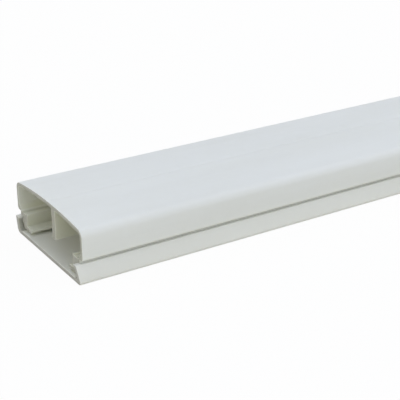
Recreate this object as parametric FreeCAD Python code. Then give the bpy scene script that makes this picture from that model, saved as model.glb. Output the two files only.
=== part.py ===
import FreeCAD, Part
import math
import os

# Two-piece clip-on raceway for cords: a shallow base channel and a crowned cover.
# X runs along the length, Y across it and Z up. The flat underside rests on Z = 0.
# Sections are drawn for the side where Y is positive and mirrored to the other one.
# Only the cover's hanging web stands on one side of the middle.

LENGTH = 1000.0             # both pieces, as cut from the extruder
SLIP = 0.7                  # the base stands out this far past the cover at the -X end
CUT_LEAN = 1.0              # and its cut end leans out this much more at the top

# Cover
COVER_WIDTH = 50.0
OVERALL_HEIGHT = 20.8
CROWN_RISE = 1.7            # the middle of the crown over its edges
CORNER_RADIUS = 2.8         # outside, between crown and side wall
COVER_WALL = 1.3
GROOVE_HEIGHT = 1.5         # between the base's wall and the cover's lower edge
GROOVE_DEPTH = 2.2          # from the side wall in to the back of the groove
CURL_RADIUS = 1.3           # where the cover's lower edge curls in
WEB_OFFSET = -4.3           # middle of the web, from the middle of the cover
WEB_THICKNESS = 2.4
WEB_GAP = 6.8               # between web and floor
WEB_FILLET = 0.5            # between web and crown

# Clip leg under each side wall of the cover, with a tongue that reaches in over the floor
WALL_TAPER = 2.1            # the side wall thickens by this much down to the leg
TAPER_HEIGHT = 2.4
FLANGE_THICKNESS = 1.4      # seat on the base's wall
LEG_THICKNESS = 3.9         # at its top
HEEL_THICKNESS = 2.4        # at its foot, over the tongue
HEEL_INSET = 0.8            # its foot stands in from its outer face
BARB_HEIGHT = 0.5           # flat of the barb that catches under the base's lip
BEAD_RADIUS = 0.5           # along the leg's top inner edge
TONGUE_REACH = 6.8          # from the leg's outer face in to the tip
TONGUE_THICKNESS = 1.0      # at the tip
TONGUE_ROOT = 1.4           # its thickness where it leaves the heel
TONGUE_GAP = 1.1            # between tongue and floor

# Base
BASE_INSET = 0.4            # its foot stands in from the cover's side wall
WALL_LEAN = 1.2             # and its wall leans in by this much up to its top
BASE_HEIGHT = 7.2
BASE_WALL = 1.3             # at its top
FOOT_RADIUS = 1.4           # outside, between side wall and underside
FLOOR_THICKNESS = 1.8
FLOOR_FILLET = 0.8          # between floor and side wall
LIP_DEPTH = 0.7             # inward lip along the wall's top
LIP_HEIGHT = 1.2
CLEARANCE = 0.1             # between leg and lip, each way


def v(y, z):
    return FreeCAD.Vector(0.0, y, z)


def flip(point, sign):
    return v(point.y * sign, point.z)


def line(a, b):
    return Part.LineSegment(a, b).toShape()


def arc(a, middle, b):
    return Part.Arc(a, middle, b).toShape()


def round_corner(a, corner, b):
    """The arc from a to b that touches the lines to the corner between them."""
    centre = a + b - corner
    out = corner - centre
    out.normalize()
    return arc(a, centre + out * (a - centre).Length, b)


def extrude(wire, x0, x1):
    solid = Part.Face(wire).extrude(FreeCAD.Vector(x1 - x0, 0.0, 0.0))
    solid.translate(FreeCAD.Vector(x0, 0.0, 0.0))
    return solid


def crown_height(y, top):
    """Height at y of the crown's curve whose middle is at top."""
    half = COVER_WIDTH / 2.0
    radius = (half ** 2 + CROWN_RISE ** 2) / (2.0 * CROWN_RISE)
    return top - radius + math.sqrt(radius ** 2 - y ** 2)


def base_foot():
    return COVER_WIDTH / 2.0 - BASE_INSET


def base_top():
    return base_foot() - WALL_LEAN


def leg_face():
    """Half width over the clip legs' outer faces."""
    return base_top() - BASE_WALL - LIP_DEPTH - CLEARANCE


def leg_outside():
    """From the back of the groove down the leg's outer face to the tongue's tip."""
    outer = leg_face()
    barb = outer + LIP_DEPTH - CLEARANCE
    heel = outer - HEEL_INSET
    groove = COVER_WIDTH / 2.0 - GROOVE_DEPTH
    catch = BASE_HEIGHT - LIP_HEIGHT - CLEARANCE
    under = FLOOR_THICKNESS + TONGUE_GAP
    return [
        v(groove, BASE_HEIGHT + GROOVE_HEIGHT),
        v(groove, BASE_HEIGHT),
        v(outer, BASE_HEIGHT),
        v(outer, catch),
        v(barb, catch),
        v(barb, catch - BARB_HEIGHT),
        v(heel, under + TONGUE_ROOT),
        v(heel, under),
        v(outer - TONGUE_REACH, under),
    ]


def leg_inside():
    """From the tongue's tip up the leg's inner face, over its bead, to the side wall."""
    inner = leg_face() - LEG_THICKNESS
    root = leg_face() - HEEL_INSET - HEEL_THICKNESS
    under = FLOOR_THICKNESS + TONGUE_GAP
    flange = BASE_HEIGHT + FLANGE_THICKNESS
    wall = COVER_WIDTH / 2.0 - COVER_WALL
    return [
        v(leg_face() - TONGUE_REACH, under + TONGUE_THICKNESS),
        v(root, under + TONGUE_ROOT),
        v(inner, flange),
        v(inner + BEAD_RADIUS, flange + BEAD_RADIUS),
        v(inner + 2.0 * BEAD_RADIUS, flange),
        v(wall - WALL_TAPER, flange),
        v(wall, flange + TAPER_HEIGHT),
    ]


def cover_side(sign):
    half = COVER_WIDTH / 2.0
    wall = half - COVER_WALL
    bottom = BASE_HEIGHT + GROOVE_HEIGHT
    r = CORNER_RADIUS
    ri = CORNER_RADIUS - COVER_WALL / 2.0
    top = crown_height(half - r, OVERALL_HEIGHT)
    under = crown_height(wall - ri, OVERALL_HEIGHT - COVER_WALL)
    a = [flip(p, sign) for p in (v(half - r, top), v(half, top), v(half, top - r))]
    b = [flip(p, sign) for p in (v(half, bottom + CURL_RADIUS), v(half, bottom),
                                 v(half - CURL_RADIUS, bottom))]
    c = [flip(p, sign) for p in leg_outside()]
    d = [flip(p, sign) for p in leg_inside()]
    e = [flip(p, sign) for p in (v(wall, under - ri), v(wall, under), v(wall - ri, under))]
    edges = [round_corner(*a), line(a[2], b[0]), round_corner(*b), line(b[2], c[0])]
    edges += [line(p, q) for p, q in zip(c, c[1:])]
    edges.append(line(c[-1], d[0]))
    edges += [line(d[0], d[1]), line(d[1], d[2]), arc(d[2], d[3], d[4])]
    edges += [line(d[4], d[5]), line(d[5], d[6]), line(d[6], e[0]), round_corner(*e)]
    return edges, a[0], e[2]


def cover_section():
    right, top_right, under_right = cover_side(1)
    left, top_left, under_left = cover_side(-1)
    crown = arc(top_right, v(0.0, OVERALL_HEIGHT), top_left)
    underside = arc(under_right, v(0.0, OVERALL_HEIGHT - COVER_WALL), under_left)
    return Part.Wire(Part.sortEdges(right + left + [crown, underside])[0])


def web_section():
    half = WEB_THICKNESS / 2.0
    f = WEB_FILLET
    top = crown_height(WEB_OFFSET, OVERALL_HEIGHT - COVER_WALL / 2.0)
    bottom = FLOOR_THICKNESS + WEB_GAP
    edges = []
    ends = []
    for sign in (1, -1):
        y = WEB_OFFSET + half * sign
        roof = crown_height(y, OVERALL_HEIGHT - COVER_WALL)
        p = [v(y, bottom), v(y, roof - f), v(y, roof), v(y + f * sign, roof),
             v(y + f * sign, top)]
        edges += [line(p[0], p[1]), round_corner(*p[1:4]), line(p[3], p[4])]
        ends.append((p[0], p[4]))
    edges.append(line(ends[0][0], ends[1][0]))
    edges.append(line(ends[0][1], ends[1][1]))
    return Part.Wire(Part.sortEdges(edges)[0])


def make_cover(x0):
    shell = extrude(cover_section(), x0, x0 + LENGTH)
    web = extrude(web_section(), x0, x0 + LENGTH)
    return shell.fuse(web).removeSplitter().Solids[0]


def base_section():
    top = base_top()
    foot = base_foot()
    inner = top - BASE_WALL
    lip = inner - LIP_DEPTH
    r = FOOT_RADIUS
    edges = []
    for sign in (1, -1):
        p = [flip(q, sign) for q in (
            v(foot - r, 0.0), v(foot, 0.0), v(foot, r), v(top, BASE_HEIGHT),
            v(lip, BASE_HEIGHT), v(lip, BASE_HEIGHT - LIP_HEIGHT),
            v(inner, BASE_HEIGHT - LIP_HEIGHT), v(inner, FLOOR_THICKNESS + FLOOR_FILLET),
            v(inner, FLOOR_THICKNESS), v(inner - FLOOR_FILLET, FLOOR_THICKNESS))]
        edges.append(round_corner(*p[0:3]))
        edges += [line(a, b) for a, b in zip(p[2:7], p[3:8])]
        edges.append(round_corner(*p[7:10]))
    edges.append(line(v(foot - r, 0.0), v(r - foot, 0.0)))
    floor = inner - FLOOR_FILLET
    edges.append(line(v(floor, FLOOR_THICKNESS), v(-floor, FLOOR_THICKNESS)))
    return Part.Wire(Part.sortEdges(edges)[0])


def slanted_cut(x0):
    """What the saw takes off the base's -X end, wider at the underside than at the top."""
    half = COVER_WIDTH
    corners = [
        FreeCAD.Vector(x0 - CUT_LEAN, -half, 0.0),
        FreeCAD.Vector(x0, -half, 0.0),
        FreeCAD.Vector(x0 - CUT_LEAN, -half, BASE_HEIGHT),
    ]
    face = Part.Face(Part.makePolygon(corners + corners[:1]))
    return face.extrude(FreeCAD.Vector(0.0, 2.0 * half, 0.0))


def make_base(x0):
    blank = extrude(base_section(), x0 - CUT_LEAN, x0 + LENGTH)
    return blank.cut(slanted_cut(x0)).Solids[0]


def main():
    os.makedirs("parts", exist_ok=True)
    start = -(LENGTH + SLIP - CUT_LEAN) / 2.0
    base = make_base(start)
    cover = make_cover(start + SLIP)
    base.exportStep("parts/base.step")
    cover.exportStep("parts/cover.step")
    for name, shape in (("base", base), ("cover", cover)):
        print(name, shape.isValid(), len(shape.Faces), shape.BoundBox)
    print("overlap", base.common(cover).Volume, "distance", base.distToShape(cover)[0])


main()
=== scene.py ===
# %% [markdown]
# # A length of cord raceway
#
# The object is a piece of plastic stock that hides cords along a wall: a shallow base
# channel and a crowned cover that clips onto it. Both are extrusions, so each has one
# section from end to end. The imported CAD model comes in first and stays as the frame:
# it says where things are and how large they may be.

# %% Load the frame
import math

import bpy
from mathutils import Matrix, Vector


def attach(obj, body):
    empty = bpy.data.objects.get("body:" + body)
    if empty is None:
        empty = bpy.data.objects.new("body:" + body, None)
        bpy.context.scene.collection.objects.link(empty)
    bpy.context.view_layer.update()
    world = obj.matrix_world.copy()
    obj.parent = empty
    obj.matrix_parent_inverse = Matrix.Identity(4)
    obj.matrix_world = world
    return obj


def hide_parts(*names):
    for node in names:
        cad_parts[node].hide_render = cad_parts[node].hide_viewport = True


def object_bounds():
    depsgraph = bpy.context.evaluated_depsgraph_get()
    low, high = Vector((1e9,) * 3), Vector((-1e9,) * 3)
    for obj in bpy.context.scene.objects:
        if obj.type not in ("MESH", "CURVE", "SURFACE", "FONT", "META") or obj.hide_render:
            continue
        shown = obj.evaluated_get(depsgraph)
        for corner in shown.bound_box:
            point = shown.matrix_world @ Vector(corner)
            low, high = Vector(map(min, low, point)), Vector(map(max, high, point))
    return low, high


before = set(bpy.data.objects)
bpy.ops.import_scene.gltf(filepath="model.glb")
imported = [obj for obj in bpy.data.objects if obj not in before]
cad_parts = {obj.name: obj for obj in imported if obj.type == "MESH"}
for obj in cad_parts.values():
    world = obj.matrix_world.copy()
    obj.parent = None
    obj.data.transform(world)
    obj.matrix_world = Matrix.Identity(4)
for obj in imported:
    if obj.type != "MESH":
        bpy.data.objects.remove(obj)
cad_low, cad_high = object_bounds()
MM = 0.001
print("CAD nodes:", sorted(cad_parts))
print("CAD box in mm:", [round(c / MM, 1) for c in (*cad_low, *cad_high)])


# %% [markdown]
# ## Where the camera stands
#
# Parallel edges that run away from us meet in a vanishing point. The long edges of the
# stock and the edges of its cut end give two such points, and two points fix the focal
# length and the way the camera looks. The distance follows from the real width of the
# stock. A lens in Blender is given for a sensor 36 mm wide, and the picture is square.

# %% Camera
FOCAL_PIXELS = 1052.36
PICTURE_WIDTH = 400
SENSOR_WIDTH = 36.0
CAMERA_PLACE = Vector((-628.17, -294.02, 160.24)) * MM
CAMERA_LOOK = Vector((0.49541, 0.77014, -0.40181))

camera_data = bpy.data.cameras.new("camera")
camera_data.sensor_width = SENSOR_WIDTH
camera_data.lens = FOCAL_PIXELS / PICTURE_WIDTH * SENSOR_WIDTH
camera_data.clip_start = 0.01
camera = bpy.data.objects.new("camera", camera_data)
bpy.context.scene.collection.objects.link(camera)
camera.location = CAMERA_PLACE
camera.rotation_mode = "QUATERNION"
camera.rotation_quaternion = CAMERA_LOOK.to_track_quat("-Z", "Y")
bpy.context.scene.camera = camera
bpy.context.scene.view_settings.view_transform = "Standard"
print("lens:", round(camera_data.lens, 2), "mm")


# %% [markdown]
# ## Light
#
# The stock is white on white, so its form only shows if its faces get different amounts
# of light. The crown is the brightest, the long side a little darker, and the cut end is
# in open shade. Three suns do this alike along the whole length: a broad cool one from
# overhead that leans away from the cut end, a weak warm one from the near side, and a weak
# low one from the front that reaches far into the open end. A dim warm world fills the
# rest. The background is white only to the camera and in reflections, so its white adds
# no light to the object's own colours.

# %% Small helpers for node trees
def add(tree, kind, place=(0, 0), **settings):
    """Adds a node at a place in the tree and sets its properties."""
    node = tree.nodes.new(kind)
    node.location = place
    for name, value in settings.items():
        setattr(node, name, value)
    return node


def join(tree, source, target):
    """Links one node's output to another's input."""
    tree.links.new(source, target)


def sees_white(tree):
    """A value of 1 for the rays that should meet a white background, and 0 for the rest."""
    path = add(tree, "ShaderNodeLightPath", (-400, 200))
    first = add(tree, "ShaderNodeMath", (-200, 200), operation="MAXIMUM")
    both = add(tree, "ShaderNodeMath", (0, 200), operation="MAXIMUM")
    join(tree, path.outputs["Is Camera Ray"], first.inputs[0])
    join(tree, path.outputs["Is Glossy Ray"], first.inputs[1])
    join(tree, first.outputs[0], both.inputs[0])
    join(tree, path.outputs["Is Transmission Ray"], both.inputs[1])
    return both.outputs[0]


print("helpers for node trees:", [helper.__name__ for helper in (add, join, sees_white)])


# %% World and suns
def make_world(ambient, colour):
    """A dim coloured world that the camera sees as white."""
    world = bpy.data.worlds.new("studio")
    world.use_nodes = True
    tree = world.node_tree
    tree.nodes.clear()
    output = add(tree, "ShaderNodeOutputWorld", (600, 0))
    mix = add(tree, "ShaderNodeMixShader", (400, 0))
    fill = add(tree, "ShaderNodeBackground", (200, -100))
    fill.inputs["Color"].default_value = (*colour, 1.0)
    fill.inputs["Strength"].default_value = ambient
    white = add(tree, "ShaderNodeBackground", (200, -250))
    join(tree, sees_white(tree), mix.inputs["Fac"])
    join(tree, fill.outputs[0], mix.inputs[1])
    join(tree, white.outputs[0], mix.inputs[2])
    join(tree, mix.outputs[0], output.inputs["Surface"])
    white.inputs["Color"].default_value = (1.0, 1.0, 1.0, 1.0)
    bpy.context.scene.world = world


def make_sun(name, direction, strength, colour, spread):
    """A sun that shines from the given direction; spread is its angle in degrees."""
    data = bpy.data.lights.new(name, "SUN")
    data.energy = strength
    data.color = colour
    data.angle = math.radians(spread)
    sun = bpy.data.objects.new(name, data)
    bpy.context.scene.collection.objects.link(sun)
    sun.rotation_mode = "QUATERNION"
    sun.rotation_quaternion = (-Vector(direction)).to_track_quat("-Z", "Y")
    print(name, "strength", strength)


make_world(0.36, (1.0, 0.985, 0.95))
make_sun("overhead_sun", (0.60, -0.30, 1.0), 1.95, (0.68, 0.765, 0.95), 130.0)
make_sun("near_side_sun", (0.35, -0.75, 0.60), 0.12, (1.0, 0.93, 0.78), 60.0)
make_sun("front_sun", (-1.0, -0.12, 0.35), 0.48, (1.0, 0.98, 0.93), 30.0)


# %% [markdown]
# ## Floor
#
# The floor is plain and pale. To the camera it is almost all white light, with a share of
# ordinary diffuse white that keeps the soft shadow under the stock. To the light that
# bounces off it, it is a plain warm white, which lifts the lower half of the long side.

# %% Floor
FLOOR_SIZE = 12.0
FLOOR_DROP = 0.1 * MM
SHADOW_SHARE = 0.04


def floor_material():
    material = bpy.data.materials.new("floor_white")
    material.use_nodes = True
    tree = material.node_tree
    tree.nodes.clear()
    output = add(tree, "ShaderNodeOutputMaterial", (800, 0))
    by_ray = add(tree, "ShaderNodeMixShader", (600, 0))
    seen = add(tree, "ShaderNodeMixShader", (400, -100))
    seen.inputs["Fac"].default_value = SHADOW_SHARE
    glow = add(tree, "ShaderNodeEmission", (200, -50))
    matte = add(tree, "ShaderNodeBsdfDiffuse", (200, -200))
    matte.inputs["Color"].default_value = (0.9, 0.9, 0.9, 1.0)
    bounce = add(tree, "ShaderNodeBsdfDiffuse", (200, 150))
    bounce.inputs["Color"].default_value = (0.81, 0.78, 0.68, 1.0)
    join(tree, sees_white(tree), by_ray.inputs["Fac"])
    join(tree, bounce.outputs[0], by_ray.inputs[1])
    join(tree, glow.outputs[0], seen.inputs[1])
    join(tree, matte.outputs[0], seen.inputs[2])
    join(tree, seen.outputs[0], by_ray.inputs[2])
    join(tree, by_ray.outputs[0], output.inputs["Surface"])
    return material


def make_floor():
    half = FLOOR_SIZE / 2.0
    mesh = bpy.data.meshes.new("floor")
    corners = [(-half, -half), (half, -half), (half, half), (-half, half)]
    mesh.from_pydata([(x, y, -FLOOR_DROP) for x, y in corners], [], [(0, 1, 2, 3)])
    mesh.materials.append(floor_material())
    floor = bpy.data.objects.new("floor", mesh)
    bpy.context.scene.collection.objects.link(floor)


make_floor()
print("floor:", FLOOR_SIZE, "m square")


# %% [markdown]
# ## Sections
#
# An extruder's die has no perfectly sharp corner, and on white plastic the small radii
# are what we see: each catches a thin line of light. So a section is written here as a
# list of corners, each with its own radius, and one helper rounds them all. Sections are
# in millimetres, Y to the right and Z up, and run anticlockwise so that the faces of the
# swept mesh point outwards.

# %% Round the corners of an outline
ARC_STEP = math.radians(12.0)
DIE_RADIUS = 0.15


def rounded(corners):
    """Points of a closed outline whose corners (y, z, radius) are replaced by arcs."""
    points = []
    count = len(corners)
    for i, (y, z, radius) in enumerate(corners):
        here = Vector((y, z))
        back = Vector(corners[i - 1][:2]) - here
        ahead = Vector(corners[(i + 1) % count][:2]) - here
        turn = math.pi - back.angle(ahead)
        if radius == 0.0 or turn < ARC_STEP:
            points.append(here)
            continue
        reach = radius * math.tan(turn / 2.0)
        start = here + back.normalized() * reach
        end = here + ahead.normalized() * reach
        middle = back.normalized() + ahead.normalized()
        centre = here + middle.normalized() * math.hypot(radius, reach)
        steps = max(2, math.ceil(turn / ARC_STEP))
        for k in range(steps + 1):
            share = k / steps
            spoke = start - centre
            angle = spoke.angle_signed(end - centre)
            swing = -angle * share
            cos, sin = math.cos(swing), math.sin(swing)
            turned = Vector((spoke.x * cos - spoke.y * sin, spoke.x * sin + spoke.y * cos))
            points.append(centre + turned)
    return points


square = rounded([(0, 0, 1), (10, 0, 1), (10, 10, 1), (0, 10, 1)])
print("a rounded square has", len(square), "points")


# %% [markdown]
# ## The base
#
# The base is a flat floor with a low wall along each side. The walls lean in towards
# their tops, and each ends in a small lip that holds the cover's leg. Only one side is
# written; the other is its mirror image, taken in the opposite order.

# %% Base section
COVER_HALF = round(cad_high[1] / MM, 3)
BASE_FOOT = 24.6
BASE_TOP = 23.4
BASE_HEIGHT = 7.2
BASE_INNER = 22.1
LIP_FACE = 21.4
LIP_UNDER = 6.0
FLOOR_TOP = 1.8
FOOT_RADIUS = 1.4
WALL_TOP_RADIUS = 0.3
FLOOR_FILLET = 0.8


def mirror(corners):
    """The other side of an outline, in the order that carries it on."""
    return [(-y, z, radius) for y, z, radius in reversed(corners)]


def base_outline():
    side = [
        (BASE_FOOT, 0.0, FOOT_RADIUS),
        (BASE_TOP, BASE_HEIGHT, WALL_TOP_RADIUS),
        (LIP_FACE, BASE_HEIGHT, DIE_RADIUS),
        (LIP_FACE, LIP_UNDER, DIE_RADIUS),
        (BASE_INNER, LIP_UNDER, DIE_RADIUS),
        (BASE_INNER, FLOOR_TOP, FLOOR_FILLET),
    ]
    return rounded(side + mirror(side))


base_points = base_outline()
print("base section:", len(base_points), "points")


# %% [markdown]
# ## The cover
#
# The cover's crown is a shallow arc with a faint score line along its middle. The side
# walls end in a curled edge over a groove, and turn in to the legs that clip into the
# base. Each leg has a barb outside, a bead on top and a heel with a tongue that reaches in
# over the floor. A thin web hangs from the crown and parts the space in two, so that power
# and data cords can be kept apart.

# %% Cover section
OVERALL_HEIGHT = round(cad_high[2] / MM, 3)
CROWN_RISE = 1.7
COVER_WALL = 1.3
CORNER_RADIUS = 2.8
CROWN_EDGE = 22.0
CROWN_EDGE_INSIDE = 21.0
SCORE_WIDTH = 1.0
SCORE_FLAT = 0.2
SCORE_DEPTH = 0.13
WEB_FACES = (-5.5, -3.1)
WEB_BOTTOM = 8.6
WEB_FILLET = 0.5
WEB_END_RADIUS = 0.25
BESIDE_WEB = 1.0

# The side wall's lower edge and the groove under it
EDGE_BOTTOM = 8.7
EDGE_CURL = 1.25
GROOVE_BACK = 22.8
TAPER_TOP = 11.0
TAPER_FOOT = 21.6

# The clip leg, from its seat down to the heel, and the tongue at its foot
SEAT_TOP = 8.6
LEG_FACE = 21.3
LEG_INNER = 17.4
LEG_ROOT = 18.1
BEAD_WIDTH = 1.0
BEAD_HEIGHT = 0.5
BARB_FACE = 21.9
BARB_TOP = 5.9
BARB_BOTTOM = 5.4
HEEL_FACE = 20.5
HEEL_TOP = 4.3
TONGUE_TIP = 14.5
TONGUE_TOP = 3.9
TONGUE_BOTTOM = 2.9


def crown_height(y, top):
    """Height at y of an arc whose middle is at top and whose edges are lower by the rise."""
    radius = (COVER_HALF ** 2 + CROWN_RISE ** 2) / (2.0 * CROWN_RISE)
    return top - radius + math.sqrt(radius ** 2 - y ** 2)


def crown_corner(y, top):
    """Where the crown's slope at y meets the upright line at half width."""
    slope = crown_height(y, top) - crown_height(y - 1.0, top)
    return crown_height(y, top) + slope * (COVER_HALF - y)


def places_across(edge):
    """Places 1 mm apart, from -edge to +edge."""
    return [k - edge for k in range(int(2 * edge) + 1)]


def crown_outside():
    """From the +Y edge to the -Y edge, with the score line at the middle."""
    score = [SCORE_WIDTH / 2.0, SCORE_FLAT / 2.0, -SCORE_FLAT / 2.0, -SCORE_WIDTH / 2.0]
    ys = [y for y in places_across(CROWN_EDGE) if abs(y) > SCORE_WIDTH] + score
    points = []
    for y in sorted(ys, reverse=True):
        dip = SCORE_DEPTH if abs(y) <= SCORE_FLAT / 2.0 else 0.0
        points.append((y, crown_height(y, OVERALL_HEIGHT) - dip, 0.0))
    return points


def crown_inside():
    """From the -Y edge to the +Y edge, down and up again round the web."""
    top = OVERALL_HEIGHT - COVER_WALL
    left, right = WEB_FACES
    points = []
    for y in places_across(CROWN_EDGE_INSIDE):
        if y < left - BESIDE_WEB or y > right + BESIDE_WEB:
            points.append((y, crown_height(y, top), 0.0))
    web = [
        (left, crown_height(left, top), WEB_FILLET),
        (left, WEB_BOTTOM, WEB_END_RADIUS),
        (right, WEB_BOTTOM, WEB_END_RADIUS),
        (right, crown_height(right, top), WEB_FILLET),
    ]
    split = sum(1 for p in points if p[0] < left)
    return points[:split] + web + points[split:]


def cover_side():
    """The +Y side in order from the inner corner under the crown to the outer one."""
    wall = COVER_HALF - COVER_WALL
    under_corner = crown_corner(CROWN_EDGE_INSIDE, OVERALL_HEIGHT - COVER_WALL)
    return [
        (wall, under_corner, CORNER_RADIUS - COVER_WALL),
        (wall, TAPER_TOP, 1.0),
        (TAPER_FOOT, SEAT_TOP, 0.4),
        (LEG_INNER + BEAD_WIDTH, SEAT_TOP, 0.0),
        (LEG_INNER + BEAD_WIDTH, SEAT_TOP + BEAD_HEIGHT, 0.42),
        (LEG_INNER, SEAT_TOP + BEAD_HEIGHT, 0.42),
        (LEG_INNER, SEAT_TOP, 0.0),
        (LEG_ROOT, HEEL_TOP, 0.5),
        (TONGUE_TIP, TONGUE_TOP, 0.4),
        (TONGUE_TIP, TONGUE_BOTTOM, 0.4),
        (HEEL_FACE, TONGUE_BOTTOM, 0.4),
        (HEEL_FACE, HEEL_TOP, 0.3),
        (BARB_FACE, BARB_BOTTOM, DIE_RADIUS),
        (BARB_FACE, BARB_TOP, DIE_RADIUS),
        (LEG_FACE, BARB_TOP, DIE_RADIUS),
        (LEG_FACE, BASE_HEIGHT, DIE_RADIUS),
        (GROOVE_BACK, BASE_HEIGHT, DIE_RADIUS),
        (GROOVE_BACK, EDGE_BOTTOM, DIE_RADIUS),
        (COVER_HALF, EDGE_BOTTOM, EDGE_CURL),
        (COVER_HALF, crown_corner(CROWN_EDGE, OVERALL_HEIGHT), CORNER_RADIUS),
    ]


def cover_outline():
    side = cover_side()
    return rounded(crown_outside() + mirror(side) + crown_inside() + side)


cover_points = cover_outline()
print("cover section:", len(cover_points), "points")


# %% [markdown]
# ## Sweep a section along the stock
#
# What an extruder does is what Curve to Mesh does: it takes a section along a path. So
# both pieces come from one Geometry Nodes tree with named inputs. After the sweep, fields
# finish the ends. The saw leaves a slightly rounded rim, so every ring within the rim's
# radius is drawn in along its own normal. A further ring close behind the rim keeps its
# slanted normals from shading the flat faces for centimetres. The saw also leaves a rough
# face, so the last ring gets a little noise. The base was cut out of square, so its end
# leans. The faces that the saw made are marked before all this, and get a material of
# their own.

# %% The sweep as a node tree
class Fields:
    """Short ways to write field maths in a node tree."""

    def __init__(self, tree):
        self.tree = tree

    def node(self, kind, **settings):
        return add(self.tree, kind, (len(self.tree.nodes) * 180, 0), **settings)

    def feed(self, socket, value):
        if isinstance(value, bpy.types.NodeSocket):
            join(self.tree, value, socket)
        else:
            socket.default_value = value

    def math(self, operation, *values):
        node = self.node("ShaderNodeMath", operation=operation)
        for socket, value in zip(node.inputs, values):
            self.feed(socket, value)
        return node.outputs[0]

    def vector(self, x, y, z):
        node = self.node("ShaderNodeCombineXYZ")
        for socket, value in zip(node.inputs, (x, y, z)):
            self.feed(socket, value)
        return node.outputs[0]

    def split(self, vector):
        node = self.node("ShaderNodeSeparateXYZ")
        self.feed(node.inputs[0], vector)
        return node.outputs


# How far the three rings near each end stand from it, in rim radii
RING_INSETS = (0.293, 1.0, 3.0)

SWEEP_INPUTS = (
    ("Start", "NodeSocketFloat"),
    ("Length", "NodeSocketFloat"),
    ("Rings", "NodeSocketInt"),
    ("Rim Radius", "NodeSocketFloat"),
    ("Lean", "NodeSocketFloat"),
    ("Saw Depth", "NodeSocketFloat"),
    ("Seed", "NodeSocketFloat"),
    ("Skin", "NodeSocketMaterial"),
    ("Cut Face", "NodeSocketMaterial"),
)


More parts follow.
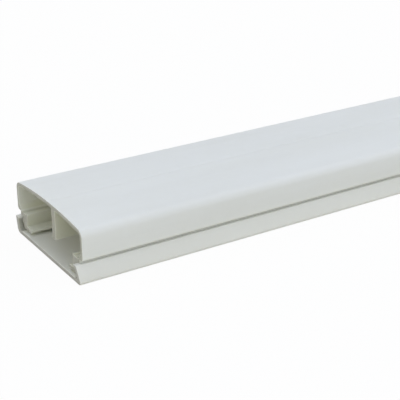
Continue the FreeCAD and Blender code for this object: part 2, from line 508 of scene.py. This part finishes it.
def sweep_tree():
    tree = bpy.data.node_groups.new("sweep_section", "GeometryNodeTree")
    tree.interface.new_socket("Section", in_out="INPUT", socket_type="NodeSocketGeometry")
    for name, kind in SWEEP_INPUTS:
        tree.interface.new_socket(name, in_out="INPUT", socket_type=kind)
    tree.interface.new_socket("Stock", in_out="OUTPUT", socket_type="NodeSocketGeometry")
    f = Fields(tree)
    given = f.node("NodeGroupInput").outputs
    start, length, rim = given["Start"], given["Length"], given["Rim Radius"]
    end = f.math("ADD", start, length)

    # The path, with three rings at each end pulled close to it: two shape the rim, and
    # the third stands behind it.
    path = f.node("GeometryNodeCurvePrimitiveLine")
    f.feed(path.inputs["Start"], f.vector(start, 0.0, 0.0))
    f.feed(path.inputs["End"], f.vector(end, 0.0, 0.0))
    resample = f.node("GeometryNodeResampleCurve")
    f.feed(resample.inputs["Curve"], path.outputs[0])
    f.feed(resample.inputs["Count"], given["Rings"])
    index = f.node("GeometryNodeInputIndex").outputs[0]
    last = f.math("SUBTRACT", given["Rings"], 1)
    curve = resample.outputs[0]
    for ring, share in enumerate(RING_INSETS, start=1):
        inset = f.math("MULTIPLY", rim, share)
        for number, x in (
            (ring, f.math("ADD", start, inset)),
            (f.math("SUBTRACT", last, ring), f.math("SUBTRACT", end, inset)),
        ):
            place = f.node("GeometryNodeSetPosition")
            f.feed(place.inputs["Geometry"], curve)
            f.feed(place.inputs["Selection"], f.math("COMPARE", index, number, 0.1))
            f.feed(place.inputs["Position"], f.vector(x, 0.0, 0.0))
            curve = place.outputs[0]
    sweep = f.node("GeometryNodeCurveToMesh")
    f.feed(sweep.inputs["Curve"], curve)
    f.feed(sweep.inputs["Profile Curve"], given["Section"])
    sweep.inputs["Fill Caps"].default_value = True

    # Which faces the saw made is told by their normals, before the rims are drawn in.
    normal = f.node("GeometryNodeInputNormal").outputs[0]
    along = f.math("ABSOLUTE", f.split(normal)[0])
    keep = f.node("GeometryNodeStoreNamedAttribute", domain="FACE", data_type="BOOLEAN")
    f.feed(keep.inputs["Geometry"], sweep.outputs[0])
    keep.inputs["Name"].default_value = "sawn"
    f.feed(keep.inputs["Value"], f.math("GREATER_THAN", along, 0.9))

    # The rims: draw in each ring by what a quarter round of that radius takes away.
    x, y, z = f.split(f.node("GeometryNodeInputPosition").outputs[0])
    from_start = f.math("SUBTRACT", x, start)
    from_end = f.math("SUBTRACT", end, x)
    inside = f.math("MINIMUM", from_start, from_end)
    depth = f.math("MAXIMUM", f.math("SUBTRACT", rim, inside), 0.0)
    chord = f.math("SUBTRACT", f.math("MULTIPLY", rim, rim), f.math("MULTIPLY", depth, depth))
    draw = f.math("SUBTRACT", rim, f.math("SQRT", f.math("MAXIMUM", chord, 0.0)))
    parts = f.split(normal)
    outward = f.node("ShaderNodeVectorMath", operation="NORMALIZE")
    f.feed(outward.inputs[0], f.vector(0.0, parts[1], parts[2]))
    pull = f.node("ShaderNodeVectorMath", operation="SCALE")
    f.feed(pull.inputs[0], outward.outputs[0])
    f.feed(pull.inputs["Scale"], f.math("MULTIPLY", draw, -1.0))

    # The saw: a lean at the start and a little roughness, cut inwards, at both ends.
    noise = f.node("ShaderNodeTexNoise")
    noise.inputs["Scale"].default_value = 700.0
    noise.inputs["Detail"].default_value = 3.0
    f.feed(noise.inputs["Vector"], f.vector(given["Seed"], y, z))
    bite = f.math("MULTIPLY", noise.outputs[0], given["Saw Depth"])
    at_start = f.math("LESS_THAN", from_start, f.math("MULTIPLY", rim, 2.0))
    at_end = f.math("LESS_THAN", from_end, f.math("MULTIPLY", rim, 2.0))
    lean = f.math("MULTIPLY", f.math("MULTIPLY", z, given["Lean"]), at_start)
    rough = f.math("MULTIPLY", f.math("SUBTRACT", at_start, at_end), bite)
    shift = f.vector(f.math("SUBTRACT", rough, lean), 0.0, 0.0)
    total = f.node("ShaderNodeVectorMath", operation="ADD")
    f.feed(total.inputs[0], pull.outputs[0])
    f.feed(total.inputs[1], shift)
    finish = f.node("GeometryNodeSetPosition")
    f.feed(finish.inputs["Geometry"], keep.outputs[0])
    f.feed(finish.inputs["Offset"], total.outputs[0])
    real = f.node("GeometryNodeRealizeInstances")
    f.feed(real.inputs[0], finish.outputs[0])

    # Two materials: one for the skin, one for the faces that the saw made.
    skin = f.node("GeometryNodeSetMaterial")
    f.feed(skin.inputs["Geometry"], real.outputs[0])
    f.feed(skin.inputs["Material"], given["Skin"])
    sawn = f.node("GeometryNodeInputNamedAttribute", data_type="BOOLEAN")
    sawn.inputs["Name"].default_value = "sawn"
    cut = f.node("GeometryNodeSetMaterial")
    f.feed(cut.inputs["Geometry"], skin.outputs[0])
    f.feed(cut.inputs["Selection"], sawn.outputs[0])
    f.feed(cut.inputs["Material"], given["Cut Face"])
    out = f.node("NodeGroupOutput")
    f.feed(out.inputs[0], cut.outputs[0])
    return tree


sweep = sweep_tree()
print("sweep tree:", len(sweep.nodes), "nodes")


# %% [markdown]
# ## White plastic
#
# The real finish is rigid white plastic with a dull skin, and its thin walls let a little
# light through, so part of the light scatters below the surface. Five effects make it more
# than a flat colour, and each is a node group, so that both pieces share them with their
# own values. The die draws fine lines along the stock. Handling leaves faint dull patches.
# The saw leaves close, slightly curved marks on the cut faces, which are coloured darker than
# the skin as painted shade. The inside is tinted a little darker and yellower than the
# outside, and the narrow joint beside each clip leg is darkened; both are painted shade.

# %% Groups that the materials share
def new_group(name, inputs, outputs):
    """An empty group of shader nodes with named sockets."""
    group = bpy.data.node_groups.new(name, "ShaderNodeTree")
    for label, kind, value in inputs:
        socket = group.interface.new_socket(label, in_out="INPUT", socket_type=kind)
        if value is not None:
            socket.default_value = value
    for label, kind in outputs:
        group.interface.new_socket(label, in_out="OUTPUT", socket_type=kind)
    return group


def stretched_noise(f, vector, scale, detail):
    """Noise whose grain has its own size along each axis."""
    mapping = f.node("ShaderNodeMapping")
    f.feed(mapping.inputs["Vector"], vector)
    mapping.inputs["Scale"].default_value = scale
    noise = f.node("ShaderNodeTexNoise")
    noise.inputs["Scale"].default_value = 1.0
    noise.inputs["Detail"].default_value = detail
    f.feed(noise.inputs["Vector"], mapping.outputs[0])
    return noise.outputs[0]


def ramp(f, value, low, high):
    """A smooth rise from 0 at the low value to 1 at the high one."""
    node = f.node("ShaderNodeMapRange", interpolation_type="SMOOTHSTEP")
    f.feed(node.inputs["Value"], value)
    node.inputs["From Min"].default_value = low
    node.inputs["From Max"].default_value = high
    return node.outputs[0]


def die_lines_group():
    """Fine lines along the stock, as a height and as streaks of tone."""
    group = new_group(
        "die_lines",
        [("Vector", "NodeSocketVector", None), ("Strength", "NodeSocketFloat", 0.3)],
        [("Height", "NodeSocketFloat"), ("Streaks", "NodeSocketFloat")],
    )
    f = Fields(group)
    given = f.node("NodeGroupInput").outputs
    fine = stretched_noise(f, given["Vector"], (3.0, 1400.0, 1400.0), 2.0)
    broad = stretched_noise(f, given["Vector"], (6.0, 260.0, 260.0), 3.0)
    both = f.math("ADD", f.math("MULTIPLY", fine, 0.4), f.math("MULTIPLY", broad, 0.6))
    out = f.node("NodeGroupOutput")
    f.feed(out.inputs["Height"], f.math("MULTIPLY", both, given["Strength"]))
    f.feed(out.inputs["Streaks"], both)
    return group


def handling_group():
    """Faint patches that are duller and rougher than the rest."""
    group = new_group(
        "handling",
        [
            ("Vector", "NodeSocketVector", None),
            ("Colour", "NodeSocketColor", (0.8, 0.8, 0.8, 1.0)),
            ("Dull Colour", "NodeSocketColor", (0.75, 0.75, 0.72, 1.0)),
            ("Streaks", "NodeSocketFloat", 0.5),
            ("Roughness", "NodeSocketFloat", 0.4),
        ],
        [("Colour", "NodeSocketColor"), ("Roughness", "NodeSocketFloat")],
    )
    f = Fields(group)
    given = f.node("NodeGroupInput").outputs
    patches = stretched_noise(f, given["Vector"], (14.0, 60.0, 60.0), 4.0)
    spots = stretched_noise(f, given["Vector"], (420.0, 420.0, 420.0), 2.0)
    worn = f.node("ShaderNodeMapRange")
    f.feed(worn.inputs["Value"], f.math("ADD", patches, f.math("MULTIPLY", spots, 0.25)))
    worn.inputs["From Min"].default_value = 0.52
    worn.inputs["From Max"].default_value = 0.85
    mix = f.node("ShaderNodeMix", data_type="RGBA")
    dull = f.math("ADD", f.math("MULTIPLY", worn.outputs[0], 0.6),
                  f.math("MULTIPLY", given["Streaks"], 0.4))
    f.feed(mix.inputs["Factor"], dull)
    f.feed(mix.inputs["A"], given["Colour"])
    f.feed(mix.inputs["B"], given["Dull Colour"])
    out = f.node("NodeGroupOutput")
    f.feed(out.inputs["Colour"], mix.outputs["Result"])
    more = f.math("MULTIPLY", worn.outputs[0], 0.12)
    more = f.math("ADD", more, f.math("MULTIPLY", given["Streaks"], 0.08))
    f.feed(out.inputs["Roughness"], f.math("ADD", given["Roughness"], more))
    return group


def saw_marks_group():
    """Close curved marks with some grit between them."""
    group = new_group(
        "saw_marks",
        [("Vector", "NodeSocketVector", None), ("Spacing", "NodeSocketFloat", 330.0)],
        [("Marks", "NodeSocketFloat")],
    )
    f = Fields(group)
    given = f.node("NodeGroupInput").outputs
    wave = f.node("ShaderNodeTexWave", bands_direction="Y")
    f.feed(wave.inputs["Vector"], given["Vector"])
    f.feed(wave.inputs["Scale"], given["Spacing"])
    wave.inputs["Distortion"].default_value = 6.0
    wave.inputs["Detail"].default_value = 3.0
    wave.inputs["Detail Scale"].default_value = 0.6
    grit = stretched_noise(f, given["Vector"], (2600.0, 2600.0, 2600.0), 3.0)
    marks = f.math("ADD", f.math("MULTIPLY", wave.outputs["Fac"], 0.35),
                   f.math("MULTIPLY", grit, 0.65))
    out = f.node("NodeGroupOutput")
    f.feed(out.inputs["Marks"], marks)
    return group


def inner_painted_shade_group():
    """Masks for painted shade inside, 0 on the outer skin: Inside is 1 from 0.9 mm in, Deep
    from 2.6 mm.
    """
    group = new_group(
        "inner_painted_shade",
        [
            ("Vector", "NodeSocketVector", None),
            ("Half Width", "NodeSocketFloat", 0.025),
            ("Lean", "NodeSocketFloat", 0.0),
            ("Top", "NodeSocketFloat", 0.02),
            ("Rise", "NodeSocketFloat", 0.0),
            ("Corner", "NodeSocketFloat", 0.002),
            ("Edge Height", "NodeSocketFloat", 0.0),
            ("Edge Depth", "NodeSocketFloat", 0.0),
        ],
        [("Inside", "NodeSocketFloat"), ("Deep", "NodeSocketFloat")],
    )
    f = Fields(group)
    given = f.node("NodeGroupInput").outputs
    x, y, z = f.split(given["Vector"])

    # The side leans, and below the edge it stands further in, as in the groove.
    below_edge = f.math("LESS_THAN", z, given["Edge Height"])
    side = f.math("SUBTRACT", given["Half Width"], f.math("MULTIPLY", given["Lean"], z))
    side = f.math("SUBTRACT", side, f.math("MULTIPLY", below_edge, given["Edge Depth"]))
    from_side = f.math("SUBTRACT", side, f.math("ABSOLUTE", y))

    # The top is arched, and the underside is flat.
    share = f.math("DIVIDE", y, given["Half Width"])
    drop = f.math("MULTIPLY", given["Rise"], f.math("MULTIPLY", share, share))
    from_top = f.math("SUBTRACT", f.math("SUBTRACT", given["Top"], drop), z)
    from_flat = f.math("MINIMUM", from_top, z)

    # Both together make a box with round corners.
    across = f.math("MAXIMUM", f.math("SUBTRACT", given["Corner"], from_side), 0.0)
    upward = f.math("MAXIMUM", f.math("SUBTRACT", given["Corner"], from_flat), 0.0)
    squares = f.math("ADD", f.math("MULTIPLY", across, across),
                     f.math("MULTIPLY", upward, upward))
    depth = f.math("SUBTRACT", given["Corner"], f.math("SQRT", squares))
    out = f.node("NodeGroupOutput")
    f.feed(out.inputs["Inside"], ramp(f, depth, 0.2 * MM, 0.9 * MM))
    f.feed(out.inputs["Deep"], ramp(f, depth, 0.2 * MM, 2.6 * MM))
    return group


def joint_shade_group():
    """A mask for painted shade in the narrow joint between a clip leg and the base's wall."""
    group = new_group(
        "joint_painted_shade",
        [
            ("Vector", "NodeSocketVector", None),
            ("Joint Width", "NodeSocketFloat", HEEL_FACE * MM),
            ("Joint Height", "NodeSocketFloat", SEAT_TOP * MM),
        ],
        [("Joint Shade", "NodeSocketFloat")],
    )
    f = Fields(group)
    given = f.node("NodeGroupInput").outputs
    x, y, z = f.split(given["Vector"])
    past_leg = f.math("SUBTRACT", f.math("ABSOLUTE", y), given["Joint Width"])
    below_top = f.math("SUBTRACT", given["Joint Height"], z)
    depth = f.math("MINIMUM", past_leg, below_top)
    out = f.node("NodeGroupOutput")
    f.feed(out.inputs["Joint Shade"], ramp(f, depth, -0.4 * MM, 0.4 * MM))
    return group


die_lines, handling, saw_marks = die_lines_group(), handling_group(), saw_marks_group()
inner_painted_shade, joint_painted_shade = inner_painted_shade_group(), joint_shade_group()
groups = (die_lines, handling, saw_marks, inner_painted_shade, joint_painted_shade)
print("shared groups:", [g.name for g in groups])


# %% Materials of the skin and of the cut faces
def use_group(f, group, **values):
    """Places a group in a material; in the names of its inputs, _ stands for a space."""
    node = f.node("ShaderNodeGroup", node_tree=group)
    for name, value in values.items():
        f.feed(node.inputs[name.replace("_", " ")], value)
    return node.outputs


def start_material(name):
    """The plastic itself, the same for all four materials."""
    material = bpy.data.materials.new(name)
    material.use_nodes = True
    tree = material.node_tree
    tree.nodes.clear()
    f = Fields(tree)
    where = f.node("ShaderNodeTexCoord").outputs["Object"]
    shader = f.node("ShaderNodeBsdfPrincipled")
    shader.inputs["IOR"].default_value = 1.53
    shader.inputs["Specular IOR Level"].default_value = 0.1
    shader.inputs["Subsurface Weight"].default_value = 0.4
    shader.inputs["Subsurface Radius"].default_value = (1.0, 0.98, 0.9)
    shader.inputs["Subsurface Scale"].default_value = 3.0 * MM
    out = f.node("ShaderNodeOutputMaterial")
    f.feed(out.inputs["Surface"], shader.outputs[0])
    return material, f, where, shader


def bump(f, height, strength, distance):
    node = f.node("ShaderNodeBump")
    node.inputs["Strength"].default_value = strength
    node.inputs["Distance"].default_value = distance
    f.feed(node.inputs["Height"], height)
    return node.outputs[0]


def tinted(f, colour, tint, share):
    """The colour multiplied by a tint where the share is 1, and as it was where it is 0."""
    node = f.node("ShaderNodeMix", data_type="RGBA", blend_type="MULTIPLY")
    f.feed(node.inputs["Factor"], share)
    f.feed(node.inputs["A"], colour)
    f.feed(node.inputs["B"], (*tint, 1.0))
    return node.outputs["Result"]


def skin_material(name, colour, dull_colour, inner_painted_shade_tint, roughness, **outline):
    material, f, where, shader = start_material(name)
    lines = use_group(f, die_lines, Vector=where, Strength=0.5)
    worn = use_group(f, handling, Vector=where, Colour=(*colour, 1.0),
                     Dull_Colour=(*dull_colour, 1.0), Streaks=lines["Streaks"],
                     Roughness=roughness)
    inner = use_group(f, inner_painted_shade, Vector=where, **outline)
    joint_shade = use_group(f, joint_painted_shade, Vector=where)["Joint Shade"]
    # The inside is tinted darker and yellower with depth from the skin: painted shade.
    colour = tinted(f, worn["Colour"], inner_painted_shade_tint, inner["Deep"])
    # The joint beside each clip leg is darkened: painted shade.
    colour = tinted(f, colour, JOINT_SHADE_TINT, f.math("MULTIPLY", inner["Inside"], joint_shade))
    f.feed(shader.inputs["Base Color"], colour)
    f.feed(shader.inputs["Roughness"], worn["Roughness"])
    f.feed(shader.inputs["Normal"], bump(f, lines["Height"], 0.35, 0.06 * MM))
    return material


def cut_material(name, colour, dark_colour):
    material, f, where, shader = start_material(name)
    marks = use_group(f, saw_marks, Vector=where, Spacing=330.0)["Marks"]
    mix = f.node("ShaderNodeMix", data_type="RGBA")
    f.feed(mix.inputs["Factor"], marks)
    f.feed(mix.inputs["A"], (*dark_colour, 1.0))
    f.feed(mix.inputs["B"], (*colour, 1.0))
    f.feed(shader.inputs["Base Color"], mix.outputs["Result"])
    shader.inputs["Roughness"].default_value = 0.7
    f.feed(shader.inputs["Normal"], bump(f, marks, 0.5, 0.05 * MM))
    return material


WALL_SLOPE = (BASE_FOOT - BASE_TOP) / BASE_HEIGHT
# How dark the painted shade in the joint beside each clip leg is.
JOINT_SHADE_TINT = (0.62, 0.62, 0.60)

# The third colour of each skin is its inside tint, painted shade.
cover_skin = skin_material(
    "cover_skin", (0.88, 0.89, 0.835), (0.84, 0.845, 0.78), (0.90, 0.90, 0.82), 0.6,
    Half_Width=COVER_HALF * MM, Lean=0.0, Top=OVERALL_HEIGHT * MM, Rise=CROWN_RISE * MM,
    Corner=CORNER_RADIUS * MM, Edge_Height=9.2 * MM, Edge_Depth=1.6 * MM)
base_skin = skin_material(
    "base_skin", (0.90, 0.905, 0.84), (0.86, 0.86, 0.79), (0.92, 0.92, 0.89), 0.6,
    Half_Width=BASE_FOOT * MM, Lean=WALL_SLOPE, Top=BASE_HEIGHT * MM, Rise=0.0,
    Corner=FOOT_RADIUS * MM, Edge_Height=0.0, Edge_Depth=0.0)
# The cut faces are coloured much darker than the skin of the same plastic: painted shade that
# keeps the cut end dim under the front sun.
cover_cut_shaded = cut_material("cover_cut_shaded", (0.52, 0.52, 0.455), (0.41, 0.41, 0.36))
base_cut_shaded = cut_material("base_cut_shaded", (0.57, 0.57, 0.54), (0.47, 0.47, 0.44))
print("materials:", [m.name for m in (cover_skin, base_skin, cover_cut_shaded, base_cut_shaded)])


# %% [markdown]
# ## Make the two pieces
#
# Each section becomes a closed curve that feeds the sweep. The sweep turns it half round
# as it stands it up, so the curve is drawn with both signs changed. The result is taken
# as a plain mesh. Its arcs are shaded smooth, and the edges of the cut faces stay sharp so
# that a flat face doesn't borrow the slant of its rim.

# %% Sweep each section
SMOOTH_ANGLE = math.radians(32.0)


def section_curve(name, points):
    """A closed curve through a section's points, with both signs changed for the sweep."""
    curve = bpy.data.curves.new(name, "CURVE")
    curve.dimensions = "3D"
    spline = curve.splines.new("POLY")
    spline.points.add(len(points) - 1)
    for point, (y, z) in zip(spline.points, points):
        point.co = (-y * MM, -z * MM, 0.0, 1.0)
    spline.use_cyclic_u = True
    thing = bpy.data.objects.new(name, curve)
    bpy.context.scene.collection.objects.link(thing)
    return thing


def swept(name, points, skin, cut_face, **values):
    """Runs the sweep on a section and keeps the result as a plain mesh."""
    source = section_curve(name + "_section", points)
    modifier = source.modifiers.new("sweep", "NODES")
    modifier.node_group = sweep
    sockets = {s.name: s.identifier for s in sweep.interface.items_tree if s.in_out == "INPUT"}
    values["Skin"] = skin
    values["Cut Face"] = cut_face
    for label, value in values.items():
        modifier[sockets[label.replace("_", " ")]] = value
    graph = bpy.context.evaluated_depsgraph_get()
    mesh = bpy.data.meshes.new_from_object(source.evaluated_get(graph), depsgraph=graph)
    mesh.name = name
    bpy.data.objects.remove(source)
    mesh.attributes.remove(mesh.attributes["sawn"])
    for face in mesh.polygons:
        face.use_smooth = True
    mesh.set_sharp_from_angle(angle=SMOOTH_ANGLE)
    piece = bpy.data.objects.new(name, mesh)
    bpy.context.scene.collection.objects.link(piece)
    print(name, len(mesh.polygons), "faces,", [m.name for m in mesh.materials])
    return piece


LENGTH = 1000.0 * MM
CUT_LEAN = 1.0 * MM
RIM_RADIUS = 0.10 * MM
SAW_DEPTH = 0.10 * MM
RINGS = 61
cover_start = cad_high[0] - LENGTH
base_start = cad_low[0] + CUT_LEAN
base_lean = CUT_LEAN / (BASE_HEIGHT * MM)

cover = swept("cover_shell", cover_points, cover_skin, cover_cut_shaded, Start=cover_start,
              Length=LENGTH, Rings=RINGS, Rim_Radius=RIM_RADIUS, Lean=0.0,
              Saw_Depth=SAW_DEPTH, Seed=1.7)
base = swept("base_channel", base_points, base_skin, base_cut_shaded, Start=base_start,
             Length=LENGTH, Rings=RINGS, Rim_Radius=RIM_RADIUS, Lean=base_lean,
             Saw_Depth=SAW_DEPTH, Seed=4.1)


# %% [markdown]
# ## Hand the pieces over
#
# Each piece hides the CAD solid of the same form and rides on the only body there is.

# %% Ride and replace
for piece, node in ((cover, "cover"), (base, "base")):
    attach(piece, "root")
    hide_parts(node)
